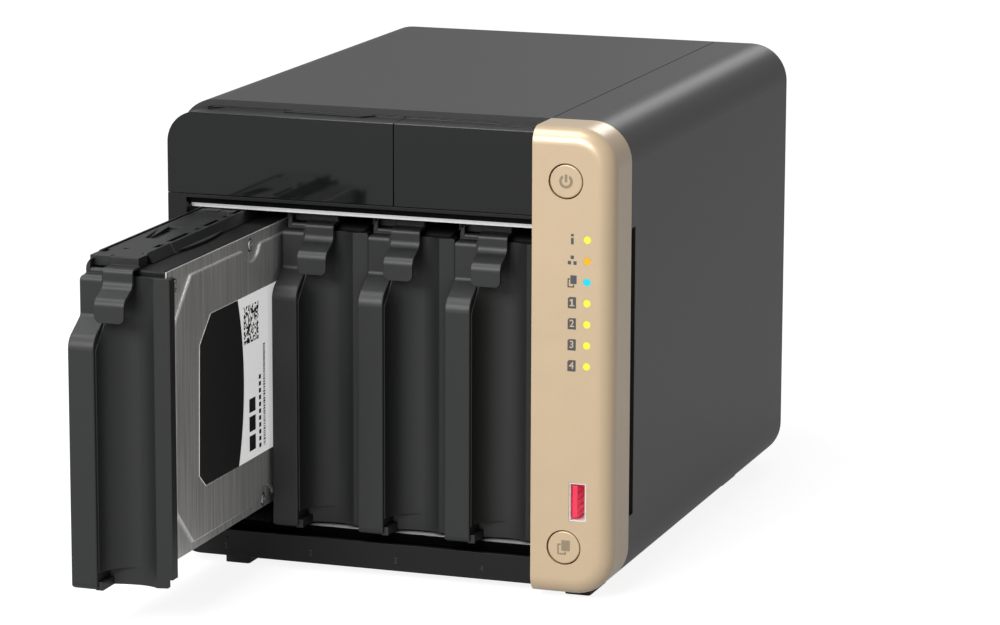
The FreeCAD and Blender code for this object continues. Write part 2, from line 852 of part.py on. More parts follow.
def latch_seat(piece):
    """Front end of the top rail: open for the latch plate, hollow for its knuckle, bored for its pin."""
    above = "rail_high + 1"
    piece.pad(
        "XY",
        "rail_low",
        "rail_high",
        polygon(
            ("rail_right - 2", "rail_front"),
            ("plate_right", "rail_front"),
            ("plate_right", "rail_front + 5.6"),
            ("rail_right", "rail_front + 8.6"),
            ("rail_right - 2", "rail_front + 8.6"),
        ),
    )
    chevron = polygon(
        ("30.6", "rail_high + 1"),
        ("32.4", "rail_high + 1"),
        ("30.6", "rail_low + 1.9"),
        ("32.4", "rail_low - 1"),
        ("30.6", "rail_low - 1"),
        ("28.8", "rail_low + 1.9"),
    )
    piece.pocket("YZ", "rail_right - 1.3", "rail_right + 2", chevron)
    open_front = rectangle("plate_left - 0.2", "panel_right", "rail_low - 0.5", above)
    piece.pocket("XZ", "panel_back - 2", "rail_front", open_front)
    inner = "wall_left + tray_wall"
    step = rectangle(inner, "plate_left", "ledge_high", above)
    piece.pocket("XZ", "panel_back - 2", "22.8", step)
    piece.pocket("XZ", "panel_back - 2", "ledge_front", rectangle("-1", f"{inner} + 0.1", "tray_high", above))
    shoulder = polygon(
        ("-1", "rail_high - 4"),
        ("wall_left", "rail_high - 4"),
        ("wall_left + 4", "rail_high"),
        ("wall_left + 4", above),
        ("-1", above),
        bends={1: "-4"},
    )
    piece.pocket("XZ", "ledge_front - 1", "22.8", shoulder)
    hollow = rectangle("knuckle_left - 0.2", "knuckle_right + 0.2", "rail_low - 0.5", "pivot_up + 1.55")
    piece.pocket("XZ", "rail_front - 1", "pivot_back + 1.6", hollow)
    bore = circle("pivot_back", "pivot_up", "pin_radius + 0.02")
    piece.pocket("YZ", "knuckle_left - 0.9", "knuckle_right + 0.9", bore)
    seam = rectangle("plate_left - 0.45", "plate_left", "ledge_high", above)
    piece.pocket("XZ", "panel_back - 2", "26", seam)


def rail_details(piece):
    """Air slots, a lip with a groove beside it, a snap tongue, a hole and a stop on the top rail."""
    above = "rail_high + 1"
    for front, back in ((41.8, 48.9), (53.5, 72), (77.6, 81.7), (84.8, 98.8), (102.8, 107.2), (110, 140)):
        slot = polygon(("15.2", front), ("17", front + 0.8), ("17", back), ("15.2", back - 0.8))
        piece.pocket("XY", "rail_low - 0.1", above, slot)
    lip = "wall_left + 0.7"
    piece.pocket("XY", "rail_high - 0.8", above, rectangle(lip, f"{lip} + 0.6", "33", "150"))
    piece.pocket("XY", "rail_high - 1.2", above, rectangle(f"{lip} + 0.2", f"{lip} + 2.1", "29.5", "34.5"))
    edge = rectangle("wall_left", lip, "30", "tray_back")
    piece.pad("XY", "rail_high - 0.1", "rail_high + rail_lip", edge)
    recess = polygon(("5.6", "57.2"), ("10.9", "57.2"), ("10", "80.4"), ("2.4", "79.2"), bends={1: "-70"})
    piece.pocket("XY", "rail_high - 1.4", above, recess)
    ramp = polygon(("56.4", "rail_high - 1.5"), ("78.4", "rail_high - 1.5"), ("78.4", "rail_high + rail_lip"))
    piece.pad("YZ", "2.4", "5.4", ramp)
    piece.pocket("XY", "rail_low - 0.1", above, circle("7.5", "37.2", "1"))
    piece.pad("XY", "rail_high - 0.1", "rail_high + rail_lip", rectangle("4.4", "9.6", "112.8", "116.5"))


def tray_latch(number):
    """Lever that keeps the tray in place; its finger tab bows out over the handle."""
    back = "arm_front + latch_thick"
    tab_back = "latch_front + latch_thick"
    piece = Piece(f"tray_{number}_latch")
    piece.pad(
        "YZ",
        "latch_left",
        "latch_right",
        polygon(
            ("latch_front", "latch_low"),
            (tab_back, "latch_low"),
            (tab_back, "113.4"),
            (back, "117.2"),
            (back, "rail_low"),
            ("plate_front", "rail_low"),
            ("plate_front", "neck_high"),
            ("arm_front", "neck_high"),
            ("arm_front", "118"),
            ("latch_front", "114.2"),
        ),
    )
    front_bends = along("x", y="arm_front", z="118"), along("x", y="latch_front", z="114.2")
    back_bends = along("x", y=back, z="117.2"), along("x", y=tab_back, z="113.4")
    piece.round("3.2", *front_bends)
    piece.round("2.6", *back_bends)
    piece.round("1.7", along("x", y="arm_front", z="neck_high"))
    piece.round("2.2", along("y", z="latch_low"))
    plate = rectangle("plate_front", "plate_front + 1", "rail_low", "rail_high")
    piece.pad("YZ", "plate_left", "plate_right", plate)
    neck = rectangle("plate_front", "pivot_back", "rail_low", "neck_high")
    piece.pad("YZ", "knuckle_left", "knuckle_right", neck)
    knuckle = circle("pivot_back", "pivot_up", "knuckle_radius")
    piece.pad("YZ", "knuckle_left", "knuckle_right", knuckle)
    bore = circle("pivot_back", "pivot_up", "pin_radius + pin_play")
    piece.pocket("YZ", "knuckle_left - 1", "knuckle_right + 1", bore)
    return piece.keep(*tray_shift(number))


def tray_latch_pin(number):
    """Pin that the latch turns on, held at both ends by the tray's top rail."""
    label = f"tray_{number}_latch_pin"
    ends = ("knuckle_left - 0.8", "knuckle_right + 0.8")
    pin = rod(label, "x", ("pivot_back", "pivot_up"), *ends, "pin_radius")
    return keep(pin, label, *tray_shift(number))


# ------------------------------------------------------------------ disks


def drive_box(name, left, right, front, back, low, high):
    """A box in a disk's own coordinates: across its thickness, back along it and up its side."""
    return block(
        name,
        f"drive_left + ({left})",
        f"drive_left + ({right})",
        f"drive_front + ({front})",
        f"drive_front + ({back})",
        f"drive_low + ({low})",
        f"drive_low + ({high})",
    )


def drive_2_to_4(number):
    """Disk in a closed tray: casting and lid drawn as one solid."""
    piece = Piece(f"drive_{number}")
    left, right = "drive_left", "drive_left + drive_thick"
    back, high = "drive_front + drive_length", "drive_low + drive_tall"
    piece.pad("YZ", left, right, rectangle("drive_front", back, "drive_low", high))
    piece.round("2", within(x=(left, right), y=("drive_front", "drive_front")))
    rear_step = rectangle(f"{back} - 30", f"{back} - 4", "60", "100")
    piece.pocket("YZ", f"{right} - 0.6", f"{right} + 1", rear_step)
    return piece.keep(*tray_shift(number))


# how far back and up each lid screw of disk 1 sits
LID_SCREWS = (("27.6", "117"), ("25.5", "24.8"), ("94.7", "118.9"), ("104.8", "24.5"))


def drive_casting():
    """Die-cast base of disk 1, stepped where the lid sits."""
    piece = Piece("drive_1_casting")
    left, right = "drive_left + 1.8", "drive_left + drive_thick - lid_thick"
    back, high = "drive_front + drive_length", "drive_low + drive_tall"
    piece.pad("YZ", left, right, rectangle("drive_front", back, "drive_low", high))
    piece.round("0.8", along("x"))
    return piece.keep(*tray_shift(1))


def drive_lid():
    """Pressed steel lid of disk 1: a low margin for the screws round a raised field."""
    right = "drive_left + drive_thick"
    back, high = "drive_front + drive_length", "drive_low + drive_tall"
    piece = Piece("drive_1_lid")
    rim = polygon(
        ("drive_front + 0.3", "drive_low + 0.3"),
        (f"{back} - 22", "drive_low + 0.3"),
        (f"{back} - 14", "drive_low + 9"),
        (f"{back} - 14", f"{high} - 9"),
        (f"{back} - 22", f"{high} - 0.3"),
        ("drive_front + 0.3", f"{high} - 0.3"),
    )
    piece.pad("YZ", f"{right} - lid_thick + 0.02", f"{right} - lid_step", rim)
    field = polygon(
        ("drive_front + 4.4", "drive_low + 16.9"),
        ("drive_front + 18.7", "drive_low + 3.1"),
        ("drive_front + 76.1", "drive_low + 3.1"),
        ("drive_front + 92.1", "drive_low + 3.1"),
        (f"{back} - 22", "drive_low + 3.1"),
        (f"{back} - 17", "drive_low + 9"),
        (f"{back} - 17", f"{high} - 9"),
        (f"{back} - 22", f"{high} - 4.3"),
        ("drive_front + 81.8", f"{high} - 4.3"),
        ("drive_front + 65.8", f"{high} - 4.3"),
        ("drive_front + 19.3", f"{high} - 4.3"),
        ("drive_front + 4.4", f"{high} - 19.2"),
        bends={2: "-8.75", 8: "-8.75"},
    )
    piece.pad("YZ", f"{right} - lid_step - 0.1", f"{right} - 0.1", field)
    step = value(f"{right} - lid_step - 0.05")
    piece.round("2.4", lambda edge: along("x")(edge) and edge.BoundBox.XMin > step)
    piece.round("lid_step - 0.15", within(x=(f"{right} - 0.1", f"{right} - 0.1")))
    wells = [circle(spot_back, up, "screw_well") for spot_back, up in LID_SCREWS]
    piece.pocket("YZ", f"{right} - lid_thick", f"{right} + 1", *wells)
    return piece.keep(*tray_shift(1))


def drive_board():
    """Circuit board on the far side of disk 1."""
    board = drive_box("drive_1_board", "0.2", "1.75", "60", "146", "6", "95")
    return keep(board, "drive_1_board", *tray_shift(1))


def drive_label():
    """Printed sticker on the lid."""
    face = "drive_left + drive_thick - 0.08"
    piece = Piece("drive_1_label")
    piece.pad(
        "YZ",
        face,
        f"{face} + 0.08",
        polygon(
            ("44.7", "46.9"),
            ("50.4", "42.2"),
            ("140", "42.2"),
            ("140", "101.9"),
            ("56.1", "101.9"),
            ("46.2", "92.6"),
        ),
    )
    return piece.keep(*tray_shift(1))


def drive_screws():
    """Lid screws of disk 1, alike, with star recesses."""
    face = "drive_left + drive_thick - lid_thick + 0.02"
    piece = Piece("drive_1_screws")
    piece.pad("YZ", face, f"{face} + 1", *[circle(back, up, "screw_radius") for back, up in LID_SCREWS])
    piece.round("0.4", within(x=(f"{face} + 1", f"{face} + 1")))
    piece.pocket("YZ", f"{face} + 0.4", f"{face} + 2", *[circle(back, up, "0.8") for back, up in LID_SCREWS])
    return piece.keep(*tray_shift(1))


def drive_connector():
    """Data and power plug in the back edge of disk 1."""
    label = "drive_1_connector"
    body = drive_box(label + "_body", "2.5", "8.5", "147.05", "150", "40", "82")
    notch = drive_box(label + "_notch", "4.5", "6.5", "148", "151", "42", "80")
    return keep(cut(label, body, notch), label, *tray_shift(1))


# ------------------------------------------------------------------ electronics


def main_board():
    """Main circuit board, upright beside the cage."""
    board = block("main_board", "board_across", "board_across + board_thick", "35", "216", "14", "152")
    return keep(board, "main_board")


def board_standoffs():
    """Six hexagon-headed spacers between the cage wall and the main board, alike."""
    spots = [(back, up) for back in (44, 126, 208) for up in (22, 116)]
    ends = ("cage_right + sheet", "board_across - 0.02")
    posts = [rod(f"standoff_{place}", "x", spot, *ends, "2.5") for place, spot in enumerate(spots)]
    return keep(fuse("board_standoffs", *posts), "board_standoffs")


def heatsink():
    """Finned block over the processor."""
    piece = Piece("heatsink")
    start = "board_across + board_thick + 1"
    piece.pad("YZ", start, f"{start} + 3", rectangle("86", "142", "60", "116"))
    fins = [rectangle(f"{86 + 5 * fin}", f"{87.6 + 5 * fin}", "60", "116") for fin in range(11)]
    piece.pad("YZ", f"{start} + 3", f"{start} + 14", *fins)
    return piece.keep()


def memory_modules():
    """Two memory boards side by side."""
    boards = []
    for place in range(2):
        left = f"board_across + board_thick + {3 + 5 * place}"
        card = block(f"memory_card_{place}", left, f"{left} + 1.2", "40", "72", "40", "107")
        socket = block(f"memory_socket_{place}", left, f"{left} + 3.6", "72.05", "77", "38", "109")
        boards += [card, socket]
    return keep(fuse("memory_modules", *boards), "memory_modules")


def backplane():
    """Board behind the bays that carries the disk sockets, with air openings."""
    piece = Piece("backplane")
    piece.pad("XZ", "cage_back + 1", "cage_back + 2.6", rectangle("cage_left", "cage_right", "15", "125"))
    ports = []
    for number in TRAYS:
        left = f"tray_left + {number - 1} * tray_pitch + 15"
        ports += [rectangle(left, f"{left} + 12", f"{low}", f"{low + 26}") for low in (20, 55, 90)]
    piece.pocket("XZ", "cage_back", "cage_back + 4", *ports)
    return piece.keep()


def drive_sockets():
    """One socket for each disk, alike."""
    sockets = []
    for number in TRAYS:
        left = f"tray_left + {number - 1} * tray_pitch + drive_left + 2"
        socket = block(f"socket_{number}", left, f"{left} + 7", "172.5", "cage_back + 0.95", "61", "104")
        sockets.append(socket)
    return keep(fuse("drive_sockets", *sockets), "drive_sockets")


def front_ribbon():
    """Flat cable that runs from the front board to the face of the main board."""
    near = "board_across + board_thick + 0.1"
    piece = Piece("front_ribbon")
    piece.pad(
        "XY",
        "52",
        "68",
        polygon(
            (near, "13.7"),
            (f"{near} + 0.5", "13.7"),
            (f"{near} + 2.1", "24"),
            (f"{near} + 0.5", "34"),
            (f"{near} + 0.5", "42"),
            (near, "42"),
            (near, "34"),
            (f"{near} + 1.6", "24"),
        ),
    )
    return piece.keep()


# ------------------------------------------------------------------ rear


def rear_panel():
    """Back plate with a fan grille and the cut-outs for the ports."""
    edge = "skin + 0.3"
    piece = Piece("rear_panel")
    left, right = f"-{HALF} + {edge}", f"{HALF} - ({edge})"
    face = rectangle(left, right, edge, f"body_height - ({edge})")
    piece.pad("XZ", "rear_face - rear_skin", "rear_face", face)
    piece.round("corner_radius - skin", along("y"))
    rows = 15
    slots = []
    for row in range(rows):
        height = 7 * (row - (rows - 1) / 2)
        half = math.sqrt(56**2 - height**2)
        low, high = f"fan_up + {height - 2}", f"fan_up + {height + 2}"
        for side in (-1, 1):
            spans = sorted((side * 2, side * half))
            slots.append(rectangle(f"fan_across + {spans[0]}", f"fan_across + {spans[1]}", low, high))
    ports = [rectangle(f"{a}", f"{b}", f"{c}", f"{d}") for a, b, c, d in REAR_PORTS.values()]
    piece.pocket("XZ", "rear_face - rear_skin - 1", "rear_face + 1", *slots, *ports)
    return piece.keep()


# left, right, low and high of each opening in the back plate
REAR_PORTS = {
    "video": (61.7, 68.3, 128.0, 143.5),
    "usb_upper": (61.7, 68.2, 108.0, 122.0),
    "usb_lower": (61.7, 68.2, 90.0, 104.0),
    "network_upper": (61.7, 75.7, 68.0, 84.0),
    "network_lower": (61.7, 75.7, 48.0, 64.0),
    "power": (61.7, 71.7, 24.0, 34.0),
    "slot": (74.2, 80.2, 92.0, 150.0),
}


def port_body(label, names, deep, wall, hollow):
    """Port housings that fill openings of the back plate, open towards the rear."""
    play = 0.15
    shells = []
    for name in names:
        left, right, low, high = REAR_PORTS[name]
        sides = (left + play, right - play)
        ends = (low + play, high - play)
        outer = block(f"{name}_body", *sides, f"rear_face - {deep}", "rear_face + 0.4", *ends)
        inner_sides = (sides[0] + wall, sides[1] - wall)
        inner_ends = (ends[0] + wall, ends[1] - wall)
        inner = block(f"{name}_hollow", *inner_sides, f"rear_face - {hollow}", "rear_face + 1", *inner_ends)
        shells.append(cut(f"{name}_port", outer, inner))
    return keep(fuse(label, *shells) if len(shells) > 1 else shells[0], label)


def power_inlet():
    """Round low-voltage inlet with a centre pin."""
    left, right, low, high = REAR_PORTS["power"]
    middle, up = (left + right) / 2, (low + high) / 2
    housing = block(
        "inlet_body", left + 0.15, right - 0.15, "rear_face - 12", "rear_face + 0.4", low + 0.15, high - 0.15
    )
    hole = rod("inlet_hole", "y", (middle, up), "rear_face - 9", "rear_face + 1", 3.1)
    pin = rod("inlet_pin", "y", (middle, up), "rear_face - 9.5", "rear_face - 0.5", 1.0)
    return keep(fuse("power_inlet", cut("inlet_socket", housing, hole), pin), "power_inlet")


def expansion_bracket():
    """Blanking plate over the expansion slot."""
    left, right, low, high = REAR_PORTS["slot"]
    plate_depth = ("rear_face + 0.05", "rear_face + 1.2")
    plate = block("bracket_plate", left - 1, right + 1, *plate_depth, low - 2, high + 6)
    ridge_depth = ("rear_face - 1.5", "rear_face + 0.2")
    ridge = block("bracket_ridge", left + 0.3, right - 0.3, *ridge_depth, low + 0.3, high - 0.3)
    return keep(fuse("expansion_bracket", plate, ridge), "expansion_bracket")


def panel_screws():
    """Pan-head screws that hold the back plate and the slot cover, alike."""
    spots = [(-78, 12), (-78, 153), (50, 153), (52, 10), (76, 12)]
    heads = []
    for place, (across, up) in enumerate(spots):
        head = rod(f"screw_head_{place}", "y", (across, up), "rear_face + 0.02", "rear_face + 1.8", "2.8")
        slots = []
        for wide, tall in ((1.8, 0.35), (0.35, 1.8)):
            span = (across - wide, across + wide)
            name = f"screw_slot_{place}_{len(slots)}"
            slots.append(block(name, *span, "rear_face + 1", "rear_face + 2", up - tall, up + tall))
        heads.append(cut(f"screw_{place}", head, *slots))
    return keep(fuse("panel_screws", *heads), "panel_screws")


def fan_frame():
    """Square fan housing with a motor mount on four struts."""
    front, back = "fan_front", "fan_front + fan_deep"
    half = "fan_size / 2"
    piece = Piece("fan_frame")
    outer = rectangle(f"fan_across - {half}", f"fan_across + {half}", f"fan_up - {half}", f"fan_up + {half}")
    piece.pad("XZ", front, back, outer)
    piece.round("6", along("y"))
    piece.pocket("XZ", f"{front} - 1", f"{back} + 1", circle("fan_across", "fan_up", "fan_bore"))
    arms = (
        rectangle("fan_across - 58.5", "fan_across + 58.5", "fan_up - 2.5", "fan_up + 2.5"),
        rectangle("fan_across - 2.5", "fan_across + 2.5", "fan_up - 58.5", "fan_up + 58.5"),
    )
    for arm in arms:
        piece.pad("XZ", f"{back} - 3.5", back, arm)
    piece.pad("XZ", f"{back} - 3.5", back, circle("fan_across", "fan_up", "hub_radius"))
    bush = "shaft_radius + 0.05"
    piece.pad("XZ", f"{back} - 12", f"{back} - 3.4", circle("fan_across", "fan_up", "4"))
    piece.pocket("XZ", f"{back} - 13", f"{back} - 1", circle("fan_across", "fan_up", bush))
    return piece.keep()


def fan_blade(centre, turn):
    """One blade, twisted from hub to tip, turned round the fan's axis."""
    root, tip = value("hub_radius") - 0.6, value("blade_radius") - 1
    sections = []
    for radius, pitch, chord in ((root, 40, 15), ((root + tip) / 2, 32, 23), (tip, 24, 29)):
        lean = math.radians(pitch)
        run = Vector(0, math.sin(lean), math.cos(lean)).multiply(chord / 2)
        thick = Vector(0, math.cos(lean), -math.sin(lean)).multiply(0.8)
        spot = centre + Vector(radius, 11, 0)
        corners = [spot - run - thick, spot + run - thick, spot + run + thick, spot - run + thick]
        sections.append(Part.makePolygon([*corners, corners[0]]))
    blade = Part.makeLoft(sections, True)
    blade.rotate(centre, Vector(0, 1, 0), turn)
    return blade


def fan_rotor():
    """Fan wheel: cup-shaped hub, shaft and seven twisted blades."""
    centre = Vector(value("fan_across"), value("fan_front"), value("fan_up"))
    axis = Vector(0, 1, 0)
    hub_radius = value("hub_radius")
    hub = Part.makeCylinder(hub_radius, 19, centre + axis * 1.5, axis)
    cup = Part.makeCylinder(hub_radius - 1.6, 18, centre + axis * 3.5, axis)
    shaft = Part.makeCylinder(value("shaft_radius"), 19.5, centre + axis * 3, axis)
    blades = [fan_blade(centre, turn * 360 / 7) for turn in range(7)]
    rotor = doc.addObject("Part::Feature", "fan_rotor")
    rotor.Shape = hub.cut(cup).multiFuse([shaft, *blades]).removeSplitter()
    return keep(rotor, "fan_rotor")


def fan_screws():
    """Four screws that hold the fan to the back plate, alike."""
    heads = []
    for place, (across, up) in enumerate(((-52.5, -52.5), (52.5, -52.5), (-52.5, 52.5), (52.5, 52.5))):
        centre = (f"fan_across + {across}", f"fan_up + {up}")
        head = rod(f"fan_screw_{place}", "y", centre, "rear_face + 0.02", "rear_face + 1.9", "3.2")
        drive_slot = block(
            f"fan_screw_slot_{place}",
            f"{centre[0]} - 2",
            f"{centre[0]} + 2",
            "rear_face + 1",
            "rear_face + 2",
            f"{centre[1]} - 0.4",
            f"{centre[1]} + 0.4",
        )
        heads.append(cut(f"fan_screw_head_{place}", head, drive_slot))
    return keep(fuse("fan_screws", *heads), "fan_screws")


def fan_cable():
    """Short lead from the fan to the main board."""
    route = [Vector(48.8, 205, 40), Vector(53, 200, 34), Vector(58.4, 198, 30)]
    spine = Part.BSplineCurve()
    spine.interpolate(route)
    wire = Part.Wire([spine.toShape()])
    start = Part.Wire([Part.makeCircle(1.2, route[0], spine.tangent(spine.FirstParameter)[0])])
    cable = doc.addObject("Part::Feature", "fan_cable")
    cable.Shape = wire.makePipeShell([start], True, True)
    return keep(cable, "fan_cable")


# ------------------------------------------------------------------ assembly


def build():
    """Make every sub-part."""
    left_cover()
    right_cover()
    side_vent_insert()
    fascia_left()
    fascia_right()
    front_frame()
    control_bezel()
    foot_pads()
    button("power_button", "power_up")
    button("copy_button", "copy_up")
    light_pipes("status_light_pipes", (0, 3, 4, 5, 6))
    light_pipes("network_light_pipe", (1,))
    light_pipes("copy_light_pipe", (2,))
    front_io_board()
    tact_switches()
    front_usb_shell()
    front_usb_tongue()
    chassis_roof()
    chassis_tub()
    bay_guides()
    for number in TRAYS:
        tray_carrier(number)
        tray_latch(number)
        tray_latch_pin(number)
    drive_casting()
    drive_lid()
    drive_board()
    drive_label()
    drive_screws()
    drive_connector()
    for number in TRAYS[1:]:
        drive_2_to_4(number)
    main_board()
    board_standoffs()
    heatsink()
    memory_modules()
    backplane()
    drive_sockets()
    front_ribbon()
    rear_panel()
    port_body("video_port", ("video",), 12, 0.6, 8)
    port_body("rear_usb_ports", ("usb_upper", "usb_lower"), 14, 0.5, 11)
    port_body("network_jacks", ("network_upper", "network_lower"), 15, 1.2, 12)
    power_inlet()
    expansion_bracket()
    panel_screws()
    fan_frame()
    fan_rotor()
    fan_screws()
    fan_cable()


def check():
    """Stop if any object failed or any sub-part has no sound shape."""
    doc.recompute()
    for thing in doc.Objects:
        if {"Invalid", "Error"} & set(thing.State):
            raise RuntimeError(f"{thing.Label} is {thing.State}")
    for thing in PARTS:
        if thing.Shape.isNull() or not thing.Shape.isValid():
            raise RuntimeError(f"{thing.Label} has no sound shape")


def write():
    """Write one STEP file for each sub-part."""
    os.makedirs("parts", exist_ok=True)
    for thing in PARTS:
        thing.Shape.exportStep(f"parts/{thing.Label}.step")


build()
check()
write()
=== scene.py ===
"""Looks for a four-bay network storage enclosure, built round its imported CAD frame.

Metres, +Z up, front facing -Y. Places come from the boxes of the CAD nodes.
"""

import json
import math
import random

import bmesh
import bpy
from mathutils import Matrix, Vector


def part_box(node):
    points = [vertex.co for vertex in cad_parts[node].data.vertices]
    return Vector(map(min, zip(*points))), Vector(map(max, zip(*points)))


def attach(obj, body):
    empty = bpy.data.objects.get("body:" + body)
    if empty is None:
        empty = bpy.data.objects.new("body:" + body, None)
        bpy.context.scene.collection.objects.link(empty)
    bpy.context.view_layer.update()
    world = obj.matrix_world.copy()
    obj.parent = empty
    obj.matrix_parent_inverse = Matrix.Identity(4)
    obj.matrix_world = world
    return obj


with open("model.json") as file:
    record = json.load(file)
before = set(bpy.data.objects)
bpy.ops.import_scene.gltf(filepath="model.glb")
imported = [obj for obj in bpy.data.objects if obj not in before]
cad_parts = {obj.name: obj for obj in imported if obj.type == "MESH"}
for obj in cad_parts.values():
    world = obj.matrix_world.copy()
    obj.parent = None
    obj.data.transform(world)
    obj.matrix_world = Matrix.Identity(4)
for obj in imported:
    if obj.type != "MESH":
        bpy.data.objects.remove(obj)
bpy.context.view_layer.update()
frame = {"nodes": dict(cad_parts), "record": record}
MM = 0.001
NODES = frame["nodes"]
SLOT_OF = {item["node"]: item["material_slot"] for item in frame["record"]["subparts"]}
BAYS = (1, 2, 3, 4)


# ------------------------------------------------------------------ shader building blocks


class Shader:
    """A node material: a Principled surface whose inputs are fed by procedural textures."""

    def __init__(self, name):
        self.material = bpy.data.materials.new(name)
        self.material.use_nodes = True
        self.tree = self.material.node_tree
        self.surface = self.tree.nodes["Principled BSDF"]
        self.place = self.add("ShaderNodeTexCoord").outputs["Object"]

    def add(self, kind, **settings):
        node = self.tree.nodes.new(kind)
        for key, setting in settings.items():
            setattr(node, key, setting)
        return node

    def feed(self, socket, source):
        """Put a number, a colour or another node's output into a socket."""
        if isinstance(source, bpy.types.NodeSocket):
            self.tree.links.new(source, socket)
        elif isinstance(source, (tuple, list)) and len(source) == 3 and len(socket.default_value) == 4:
            socket.default_value = (*source, 1.0)
        else:
            socket.default_value = source

    def set(self, **inputs):
        """Set inputs of the Principled surface; an underscore stands for a space."""
        for key, source in inputs.items():
            self.feed(self.surface.inputs[key.replace("_", " ")], source)
        return self.material

    def stretched(self, stretch):
        mapping = self.add("ShaderNodeMapping")
        self.feed(mapping.inputs["Vector"], self.place)
        mapping.inputs["Scale"].default_value = stretch
        return mapping.outputs["Vector"]

    def noise(self, size, detail=2.0, stretch=(1, 1, 1)):
        """Cloudy values between 0 and 1, with blobs about size metres across."""
        node = self.add("ShaderNodeTexNoise")
        self.feed(node.inputs["Vector"], self.stretched(stretch))
        node.inputs["Scale"].default_value = 1 / size
        node.inputs["Detail"].default_value = detail
        return node.outputs["Fac"]

    def math(self, operation, first, second=0.5):
        node = self.add("ShaderNodeMath", operation=operation)
        self.feed(node.inputs[0], first)
        self.feed(node.inputs[1], second)
        return node.outputs[0]

    def spread(self, value, low, high, start=0.3, stop=0.7):
        """Spread a value from the span start..stop over low..high."""
        node = self.add("ShaderNodeMapRange")
        self.feed(node.inputs["Value"], value)
        for key, number in zip(("From Min", "From Max", "To Min", "To Max"), (start, stop, low, high)):
            node.inputs[key].default_value = number
        return node.outputs["Result"]

    def mix(self, share, first, second):
        """A colour between two colours."""
        node = self.add("ShaderNodeMix", data_type="RGBA")
        self.feed(node.inputs["Factor"], share)
        self.feed(node.inputs[6], first)
        self.feed(node.inputs[7], second)
        return node.outputs[2]

    def edges(self, radius):
        """A normal that rounds sharp edges, and a mask that is high along them."""
        bevel = self.add("ShaderNodeBevel", samples=4)
        bevel.inputs["Radius"].default_value = radius
        flat = self.add("ShaderNodeNewGeometry").outputs["Normal"]
        turn = self.add("ShaderNodeVectorMath", operation="DOT_PRODUCT")
        self.feed(turn.inputs[0], bevel.outputs[0])
        self.feed(turn.inputs[1], flat)
        mask = self.spread(turn.outputs["Value"], 1.0, 0.0, 0.8, 0.99)
        return bevel.outputs[0], mask

    def further_back(self, start, reach):
        """Rises from 0 to 1 over a stretch behind a place on the Y axis."""
        split = self.add("ShaderNodeSeparateXYZ")
        self.feed(split.inputs[0], self.add("ShaderNodeNewGeometry").outputs["Position"])
        return self.spread(split.outputs["Y"], 0.0, 1.0, start, start + reach)

    def facing_up(self):
        """Rises from 0 on upright faces to 1 on faces that look up."""
        split = self.add("ShaderNodeSeparateXYZ")
        self.feed(split.inputs[0], self.add("ShaderNodeNewGeometry").outputs["Normal"])
        return self.spread(split.outputs["Z"], 0.0, 1.0, 0.6, 0.9)

    def openness(self, reach):
        """Falls from 1 on open faces towards 0 in creases and hollows narrower than the reach."""
        node = self.add("ShaderNodeAmbientOcclusion")
        node.samples = 8
        node.inputs["Distance"].default_value = reach
        return node.outputs["AO"]

    def by_ray(self, seen, mirrored, other):
        """One number for what the camera sees, one for sharp reflections and one for all other light."""
        path = self.add("ShaderNodeLightPath")
        amount = self.math("MULTIPLY", path.outputs["Is Glossy Ray"], mirrored - other)
        amount = self.math("ADD", amount, other)
        straight = self.math("MULTIPLY", path.outputs["Is Camera Ray"], seen - other)
        return self.math("ADD", amount, straight)

    def relief(self, height, depth, normal=None):
        """Small bumps of the given depth in metres."""
        node = self.add("ShaderNodeBump")
        node.inputs["Distance"].default_value = depth
        self.feed(node.inputs["Height"], height)
        if normal is not None:
            self.feed(node.inputs["Normal"], normal)
        return node.outputs["Normal"]


def darker(colour, share):
    return tuple(channel * share for channel in colour)


# ------------------------------------------------------------------ materials


def moulded(
    name,
    colour,
    rough,
    grain=0.35 * MM,
    depth=0.012 * MM,
    edge=0.25 * MM,
    edge_wear_and_shade=1.3,
    gloss=0.5,
    metal=0.0,
    coat=0.0,
    glow=0.0,
    painted_shade_behind=None,
    crease_shade_reach=None,
):
    """Moulded or painted skin: fine grain, a trace of mottling, softened edges, lighter where rubbed when the
    edge factor is above one and darker as painted shade when it is below one.

    Behind a given place on the Y axis the skin gets painted shade: it turns dark and loses its shine.
    With a crease reach given, creases and pockets narrower than that get painted shade.
    """
    look = Shader(name)
    normal, rim = look.edges(edge)
    cloud = look.spread(look.noise(14 * MM, 4.0), 0.0, 1.0)
    fine = look.spread(look.noise(grain, 3.0), 0.0, 1.0)
    body = look.mix(cloud, darker(colour, 0.98), darker(colour, 1.02))
    body = look.mix(look.math("MULTIPLY", fine, 0.4), body, darker(colour, 0.86))
    # Edge colour: an edge factor above one lightens rubbed edges; below one it darkens them as painted shade
    # along seams.
    body = look.mix(look.math("MULTIPLY", rim, 0.3), body, darker(colour, edge_wear_and_shade))
    if painted_shade_behind is not None:
        # Painted shade: darker and less shiny further back than the given place.
        painted_shade_share = look.further_back(painted_shade_behind, 1.5 * MM)
        body = look.mix(painted_shade_share, body, darker(colour, 0.1))
        gloss = look.spread(painted_shade_share, gloss, 0.03, 0.0, 1.0)
    if crease_shade_reach is not None:
        # Painted shade: darker in creases and pockets, from ambient occlusion.
        body = look.mix(look.spread(look.openness(crease_shade_reach), 0.0, 1.0, 0.25, 0.95), darker(colour, 0.35), body)
    return look.set(
        Base_Color=body,
        Metallic=metal,
        Roughness=look.spread(fine, rough - 0.02, rough + 0.02, 0.0, 1.0),
        Specular_IOR_Level=gloss,
        Coat_Weight=coat,
        Coat_Roughness=0.3,
        Emission_Color=body,
        Emission_Strength=glow,
        Normal=look.relief(fine, depth, normal),
    )


